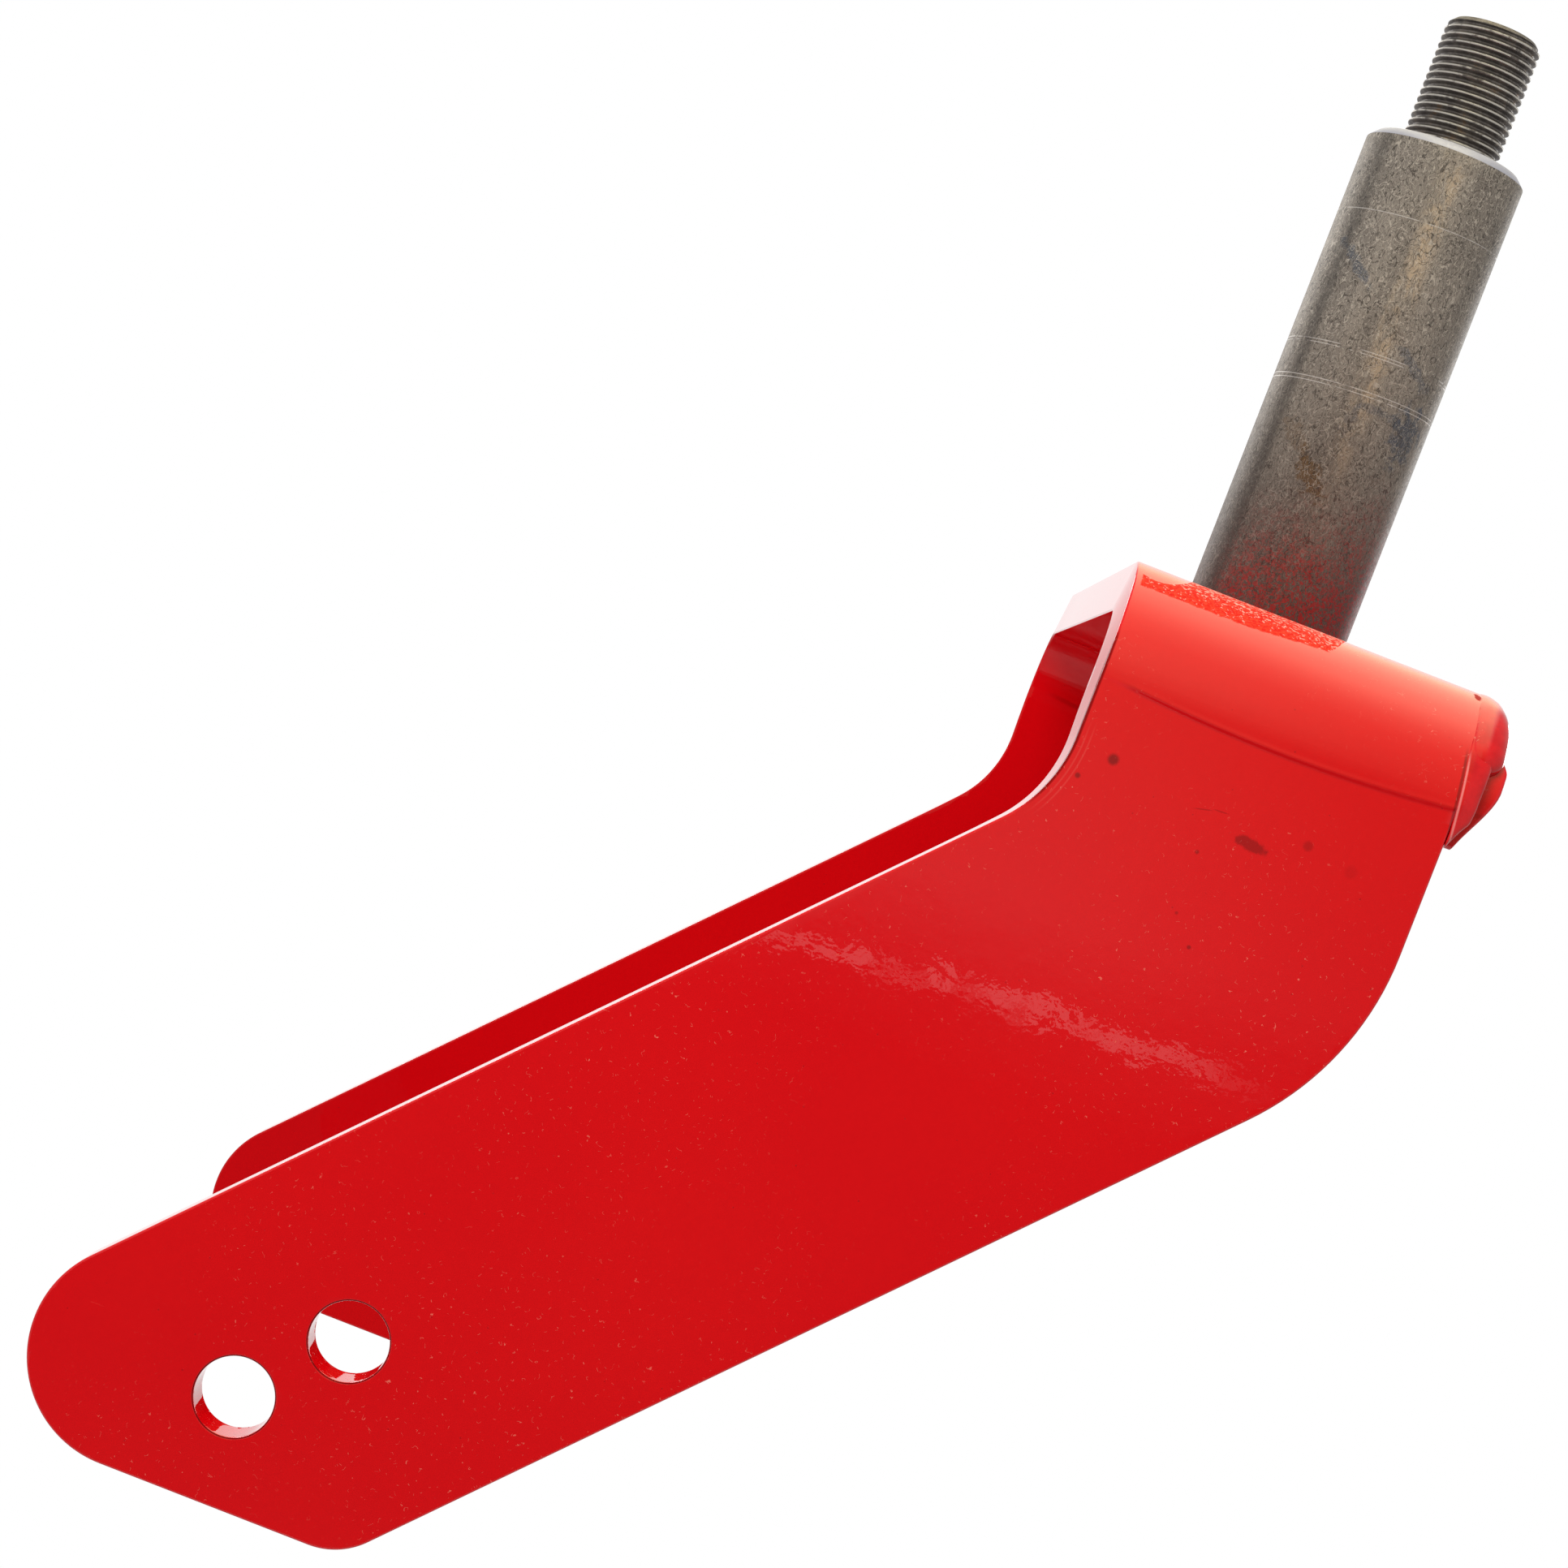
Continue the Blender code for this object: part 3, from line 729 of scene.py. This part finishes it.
def flare_front(shape, leg):
    """Shearing and bending flared the front rim: its inner edge stands out past its outer one."""
    for vertex in shape.verts:
        x, s, height = vertex.co
        depth = PLATE / 2 - height
        level = min(0.0, LEG_START - BEND_OUTER - abs(s))
        if x < CROWN_FRONT + 12 * MM and level > -70 * MM:
            away, out = front_rim(leg, x, level)
            flare = FLARE * (depth / PLATE) * (1 - smooth(0, 10 * MM, away)) * smooth(-56 * MM, -22 * MM, level)
            vertex.co.x += out.x * flare
            vertex.co.y += -out.y * flare * (1 if s > 0 else -1)


def bend_strip(shape):
    """Bend the flat strip, with the press-brake ridge and a slight swell on its outside."""
    for vertex in shape.verts:
        x, s, height = vertex.co
        x = max(x, yoke_low[0] + 0.01 * MM)
        depth = PLATE / 2 - height
        outside = 1 - depth / PLATE
        ridge = math.exp(-((abs(s) - crease_line(x)) / (0.42 * MM)) ** 2)
        ridge *= smooth(CROWN_FRONT + 2 * MM, CROWN_FRONT + 8 * MM, x)
        swell = 0.006 * MM * noise.noise(Vector((x * 22, s * 22, 3.0)))
        depth -= (0.050 * MM * ridge + swell - 0.006 * MM) * outside
        vertex.co = bent(x, s, depth)


def make_yoke():
    leg = leg_profile()
    shape = flat_strip(leg)
    flare_front(shape, leg)
    bend_strip(shape)
    yoke = object_from("yoke_plate", shape, paint, "yoke_paint", "fork_yoke")
    weight_normals(yoke)


# ---------------------------------------------------------------- spindle
def thread_depth(angle, height):
    """How deep the thread is cut at this place: flat crests, rounded roots, faded at both ends."""
    phase = (height - SHOULDER) / THREAD_PITCH - angle / math.tau
    from_root = abs(2 * (phase % 1.0) - 1)
    groove = 1 - smooth(0.12, 0.90, from_root)
    return THREAD_DEPTH * groove * smooth(0.3 * MM, 1.6 * MM, height - SHOULDER)


def spindle_profile():
    """(radius, z) from the tail's middle up to the stud's end."""
    tail, foot = SPINDLE_TAIL, SHOULDER - SHOULDER_CHAMFER
    profile = [(0, tail), (SPINDLE_RADIUS - 1.0 * MM, tail), (SPINDLE_RADIUS - 0.25 * MM, tail + 0.55 * MM),
               (SPINDLE_RADIUS, tail + 1.1 * MM)]
    profile += [(SPINDLE_RADIUS, z) for z in spaced(tail + 4 * MM, SHOULDER - 4 * MM, 4 * MM)]
    profile += [(SPINDLE_RADIUS, foot - 0.12 * MM), (SPINDLE_RADIUS - 0.06 * MM, foot + 0.04 * MM),
                (SPINDLE_RADIUS - SHOULDER_CHAMFER + 0.06 * MM, SHOULDER - 0.08 * MM),
                (SPINDLE_RADIUS - SHOULDER_CHAMFER - 0.05 * MM, SHOULDER),
                (STUD_RADIUS + 0.35 * MM, SHOULDER), (STUD_RADIUS, SHOULDER + 0.12 * MM)]
    for z in spaced(SHOULDER + 0.25 * MM, STUD_TOP, THREAD_PITCH / 14):
        profile.append((min(STUD_RADIUS, STUD_RADIUS - STUD_CHAMFER + (STUD_TOP - z)), z))
    return profile + [(STUD_RADIUS - STUD_CHAMFER - 0.4 * MM, STUD_TOP), (0, STUD_TOP)]


def make_spindle():
    """One surface of rings from the tail to the stud's end, with a true helix on the stud."""
    segments = 160
    shape = bmesh.new()
    rings = []
    for radius, z in spindle_profile():
        if radius == 0:
            rings.append([shape.verts.new((0, 0, z))])
            continue
        threaded = SHOULDER + 0.2 * MM < z < STUD_TOP - 1e-7
        row = []
        for k in range(segments):
            turn = math.tau * k / segments
            limit = min(radius, STUD_RADIUS - thread_depth(turn, z)) if threaded else radius
            row.append(shape.verts.new((limit * math.cos(turn), limit * math.sin(turn), z)))
        rings.append(row)
    for lower, upper in zip(rings, rings[1:]):
        for k in range(segments):
            after = (k + 1) % segments
            face = [lower[k % len(lower)], lower[after % len(lower)],
                    upper[after % len(upper)], upper[k % len(upper)]]
            shape.faces.new(list(dict.fromkeys(face)))
    spindle = object_from("spindle_bar", shape, steel, "spindle_steel", "swivel_spindle")
    spindle.data.set_sharp_from_angle(angle=math.radians(40))


# ---------------------------------------------------------------- welds and bar
def swept(rings, closed):
    """Skin between rings of points; closed joins the last ring to the first."""
    shape = bmesh.new()
    rows = [[shape.verts.new(p) for p in one] for one in rings]
    pairs = list(zip(rows, rows[1:])) + ([(rows[-1], rows[0])] if closed else [])
    for first, second in pairs:
        for k in range(len(first)):
            after = (k + 1) % len(first)
            shape.faces.new((first[k], first[after], second[after], second[k]))
    if not closed:
        shape.faces.new(rows[0])
        shape.faces.new(list(reversed(rows[-1])))
    return shape


def ripple(distance, pitch):
    """Height of overlapping weld ripples, 0 to 1."""
    phase = (distance / pitch) % 1.0
    return math.sqrt(max(0.0, 1 - (1 - phase) ** 2))


def make_ring_weld(name, low, high, outward, node):
    """Fillet ring round the spindle, with ripples, kept inside its solid's box."""
    inner = SPINDLE_RADIUS + 0.05 * MM
    leg = (high[2] - low[2]) * 0.97
    foot = low[2] if outward > 0 else high[2]
    spread = high[0] - SPINDLE_RADIUS - 0.3 * MM
    steps = 220
    rings = []
    for k in range(steps):
        turn = math.tau * k / steps
        beat = ripple(turn * SPINDLE_RADIUS + 0.5 * MM * noise.noise(Vector((turn * 3, 0, 0))), 2.3 * MM)
        lump = 0.90 + 0.07 * noise.noise(Vector((5 * math.cos(turn), 5 * math.sin(turn), outward)))
        row = []
        for j in range(11):
            rise = math.pi / 2 * j / 10
            bulge = lump - 0.05 * (1 - beat) * math.sin(2 * rise)
            away = spread * bulge * (1 - math.sin(rise)) ** 0.8
            up = leg * bulge * math.sin(rise) ** 0.9 * (0.55 + 0.45 * math.sin(rise))
            row.append(((inner + away) * math.cos(turn), (inner + away) * math.sin(turn), foot + outward * up))
        row.append(((inner - 0.02 * MM) * math.cos(turn), (inner - 0.02 * MM) * math.sin(turn), foot))
        rings.append(row)
    object_from(name, swept(rings, True), paint_on_weld, "weld_paint", node)


def bead_station(run):
    """Point on the yoke's outside and the way out of it, run metres from the bend's start on the crown."""
    edge = yoke_high[1]
    if run < 0:
        return Vector((edge - BEND_OUTER + run, 0)), Vector((0, 1))
    turn = run / BEND_OUTER
    if turn < math.pi / 2:
        out = direction(math.pi / 2 - turn)
        return Vector((edge - BEND_OUTER, -BEND_OUTER)) + out * BEND_OUTER, out
    return Vector((edge, -BEND_OUTER - (run - BEND_LENGTH))), Vector((1, 0))


def lump_section(run, side, start):
    """The fat lump's section as (x, lift), for a lump that starts at run start on the crown."""
    into = smooth(0.4 * start, BEND_OUTER * math.radians(42), run)
    cap = math.sqrt(max(0.0, 1 - smooth(LUMP_END - 5.5 * MM, LUMP_END, run) ** 2))
    cap = max(0.04, cap) * max(0.1, smooth(start - 0.1 * MM, start + 2 * MM, run))
    middle = (31.3 + 0.9 * into) * MM
    wide = (2.5 + 1.75 * into) * MM * cap
    deep = (2.2 + 0.5 * into) * MM * cap
    sink = (-2.3 - 0.1 * into) * MM
    row = []
    for k in range(40):
        turn = math.tau * k / 40
        lump = 1 + 0.03 * noise.noise(Vector((run * 200, 1.4 * math.cos(turn), 1.4 * math.sin(turn) + side)))
        x = min(bar_high[0] - 0.1 * MM, middle + wide * lump * math.cos(turn))
        row.append((x, sink + deep * lump * math.sin(turn)))
    return row


def band_section(run, side):
    """The smooth band's section as (x, lift): wide at the lump, and drawn to a tip low on the leg."""
    z = bead_station(run)[0].y
    down = max(0.0, min(1.0, (-11 * MM - z) / (14 * MM)))
    left = (29.6 + 1.6 * down) * MM
    right = (34.5 - 0.7 * down * down) * MM
    tip = max(0.0, min(1.0, (-22.6 * MM - z) / (4.7 * MM)))
    right = right + (left + 0.3 * MM - right) * tip
    across_and_lift_mm = ((0.00, -1.2), (0.00, -0.40), (0.03, -0.14), (0.08, -0.03), (0.16, 0.0), (0.36, -0.08),
                          (0.65, -0.30), (0.86, -0.55), (0.96, -0.95), (1.00, -1.6), (0.97, -2.6), (0.80, -3.4),
                          (0.40, -3.6), (0.05, -2.6))
    wobble = 0.06 * noise.noise(Vector((run * 260, side, 4.0)))
    return [(left + (right - left) * (across + wobble * across), lift * MM) for across, lift in across_and_lift_mm]


def bead_skin(runs, side, section):
    """Closed skin through the sections; none rises above the yoke by more than its solid does."""
    rings = []
    for run in runs:
        point, out = bead_station(run)
        highest = 0.0 if run > BEND_LENGTH * 0.9 else 0.5 * MM
        places = [(x, point + out * min(lift, highest)) for x, lift in section(run)]
        rings.append([(x, side * place.x, place.y) for x, place in places])
    return swept(rings, False)


def make_corner_bead(name, side, node):
    """Weld at the bar's end: a fat lump round the bend, then a smooth band down the leg's rear edge."""
    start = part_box("stiffener_weld_far")[0][1] - yoke_high[1] + BEND_OUTER
    bottom = BEND_LENGTH - BEND_OUTER - bead_low[2] - 0.1 * MM
    lump = bead_skin(spaced(start, LUMP_END, 0.35 * MM), side, lambda run: lump_section(run, side, start))
    band = bead_skin(spaced(BAND_START, bottom, 0.5 * MM), side, lambda run: band_section(run, side))
    extra = bpy.data.meshes.new("band")
    band.to_mesh(extra)
    band.free()
    lump.from_mesh(extra)
    bpy.data.meshes.remove(extra)
    object_from(name, lump, paint_on_weld, "weld_paint", node)


def make_bar():
    """Stiffener bar: a flat plate outline whose back is rolled off at the top and slopes in below."""
    thickness = bar_high[0] - bar_low[0]
    half = bar_high[1]
    corner = BEND_OUTER - (yoke_high[1] - half)
    top = bar_high[2]
    bottom = bar_low[2]
    outline = rounded([
        (Vector((-half, bottom)), 1.0 * MM),
        (Vector((-half, top)), corner - 3 * MM),
        (Vector((half, top)), corner - 3 * MM),
        (Vector((half, bottom)), 1.0 * MM)])
    outline.reverse()
    shape = rounded_plate([outline], thickness, 0.5 * MM)
    slice_at(shape, 1, spaced(bottom + 0.8 * MM, top - 0.8 * MM, 1.0 * MM))
    slice_at(shape, 0, spaced(-half + 2 * MM, half - 2 * MM, 5 * MM))
    slice_at(shape, 2, spaced(-thickness / 2 + 0.8 * MM, thickness / 2 - 0.8 * MM, 0.8 * MM))
    for vertex in shape.verts:
        across, z, height = vertex.co
        depth = height + thickness / 2
        slope = 0.80 * (1 - smooth(-30.5 * MM, -15 * MM, z))
        roll = 0.45 * smooth(top - 5 * MM, top, z) ** 2
        tucked = 0.32 * smooth(-12.5 * MM, -9.0 * MM, z) * smooth(half - 14 * MM, half - 6 * MM, abs(across))
        reach = 1 - slope - max(roll, tucked)
        vertex.co = (bar_low[0] + depth * (reach if depth > thickness * 0.08 else 1), across, z)
    bar = object_from("stiffener_bar", shape, paint, "yoke_paint", "rear_stiffener")
    weight_normals(bar)


make_yoke()
make_spindle()
make_ring_weld("spindle_weld_upper", top_weld_low, top_weld_high, 1, "spindle_top_weld")
make_ring_weld("spindle_weld_lower", bottom_weld_low, bottom_weld_high, -1, "spindle_bottom_weld")
make_corner_bead("bar_weld_near", -1, "stiffener_weld_near")
make_corner_bead("bar_weld_far", 1, "stiffener_weld_far")
make_bar()


# ---------------------------------------------------------------- stage, light, camera
FLOOR_RADIUS = 0.50
FLOOR_DROP = 0.25                     # floor below the foot


def make_floor():
    """Pale round floor, well below the foot: the fork is held up by its spindle."""
    shape = bmesh.new()
    bmesh.ops.create_circle(shape, cap_ends=True, segments=128, radius=FLOOR_RADIUS)
    mesh = bpy.data.meshes.new("floor")
    shape.to_mesh(mesh)
    shape.free()
    mesh.materials.append(floor_surface())
    floor = bpy.data.objects.new("floor", mesh)
    floor.location = (-0.03, 0.0, LEG_BOTTOM - FLOOR_DROP)
    bpy.context.scene.collection.objects.link(floor)


def room_strength(n, turn, beside):
    """Brightness of the room: a strip from in front over the top to behind, and plainer flanks beside it."""
    # (degrees from straight in front, level); 90 is overhead, 180 behind, and below is negative
    levels = ((-180, 1.06), (-120, 0.90), (-60, 0.65), (-25, 0.22), (-12, 0.10), (-2.9, 0.10), (-2.6, 0.38),
              (4, 0.42), (10, 0.58), (25, 0.92), (50, 1.15), (66, 1.65), (90, 3.00), (110, 3.20), (145, 2.40),
              (163, 1.25), (180, 1.06))
    ramp = n.add("ShaderNodeValToRGB")
    n.feed(ramp.inputs[0], n.math("DIVIDE", n.plus(turn, 180.0), 360.0))
    elements = ramp.color_ramp.elements
    while len(elements) < len(levels):
        elements.new(1.0)
    for element, (degrees, level) in zip(elements, levels):
        element.position = (degrees + 180) / 360
        element.color = (level, level, level, 1)
    dimmer = n.span(n.x, 0.05, 0.17, 1.25, 0.62)
    front = n.times(n.span(turn, -3.0, -2.5), n.fall(turn, 25.0, 90.0))
    strip = n.times(ramp.outputs[0], n.plus(1.0, n.times(front, n.minus(dimmer, 1.0))))
    flank = n.span(n.z, 0.45, 0.80, 0.62, 0.50)
    return n.plus(n.times(strip, n.minus(1.0, beside)), n.times(beside, flank))


def bright_edge(n, turn):
    """Bright ragged line of a far table's edge, low in front."""
    patch = n.noise(110, 6, 0.55)
    sag = n.plus(n.span(n.x, 0.0, 0.07, -3.20, -2.85), n.wander(patch, 0.8), n.span(n.x, 0.07, 0.15, 0.0, 0.12))
    ends = n.times(n.span(n.x, -0.01, 0.015), n.fall(n.x, 0.115, 0.155))
    line = n.times(n.line(turn, sag, 0.12, 0.17), ends)
    return n.times(line, n.fall(n.y, -0.9, -0.8), n.span(patch, 0.36, 0.52, 0.30, 1.05))


def make_world():
    """White room: a strong light overhead, a white sweep behind and below, a dim side in front."""
    world = bpy.data.worlds.new("white_studio")
    bpy.context.scene.world = world
    world.use_nodes = True
    world.node_tree.nodes.clear()
    n = Nodes(world, "Generated")
    turn = n.times(n.math("ARCTAN2", n.z, n.times(n.y, -1.0)), math.degrees(1))
    beside = n.span(n.math("ABSOLUTE", n.x), 0.20, 0.40)
    warm = n.times(n.span(turn, -3.0, 4.0), n.fall(turn, 140.0, 172.0), n.minus(1.0, beside))
    studio = n.add("ShaderNodeBackground")
    n.feed(studio.inputs["Color"], n.mix(warm, (1.0, 1.0, 1.0), (1.0, 0.93, 0.64)))
    n.feed(studio.inputs["Strength"], n.plus(room_strength(n, turn, beside), bright_edge(n, turn)))
    backdrop = n.add("ShaderNodeBackground")
    backdrop.inputs["Color"].default_value = (1, 1, 1, 1)
    backdrop.inputs["Strength"].default_value = 1.0
    choose = n.add("ShaderNodeMixShader")
    n.feed(choose.inputs[0], n.add("ShaderNodeLightPath").outputs["Is Camera Ray"])
    n.feed(choose.inputs[1], studio.outputs[0])
    n.feed(choose.inputs[2], backdrop.outputs[0])
    n.feed(n.add("ShaderNodeOutputWorld").inputs["Surface"], choose.outputs[0])


def area_light(name, place, target, size, power, mirrored):
    """Round light aimed at a target; mirrored says whether shiny surfaces show it."""
    data = bpy.data.lights.new(name, "AREA")
    data.shape = "DISK"
    data.size = size
    data.energy = power
    light = bpy.data.objects.new(name, data)
    light.location = place
    light.rotation_euler = (Vector(target) - Vector(place)).to_track_quat("-Z", "Y").to_euler()
    light.visible_glossy = mirrored
    bpy.context.scene.collection.objects.link(light)


def make_camera():
    """Square to the near leg from below the crown, rolled so that the spindle leans right."""
    place = Vector((-0.07336, -0.71069, -0.04715))
    forward = Vector((-0.0028, 0.99985, -0.01708))
    roll_up = Vector((-0.3626, 0.0149, 0.9315))
    right = forward.cross(roll_up).normalized()
    up = right.cross(forward).normalized()
    data = bpy.data.cameras.new("camera")
    data.sensor_width = 36
    data.lens = 84.3
    data.clip_start = 0.01
    camera = bpy.data.objects.new("camera", data)
    turn = Matrix((right, up, -forward.normalized())).transposed().to_4x4()
    camera.matrix_world = Matrix.Translation(place) @ turn
    bpy.context.scene.collection.objects.link(camera)
    bpy.context.scene.camera = camera


make_floor()
make_world()
area_light("key", (-0.24, -0.46, 0.30), (-0.03, 0, -0.08), 0.30, 2.4, False)
area_light("rim_front", (-0.50, 0.70, 0.15), (0, 0, 0.06), 0.30, 1.6, True)
area_light("rim_rear", (0.50, 0.70, 0.15), (0, 0, 0.06), 0.30, 1.3, True)
make_camera()
bpy.context.scene.view_settings.view_transform = "Standard"
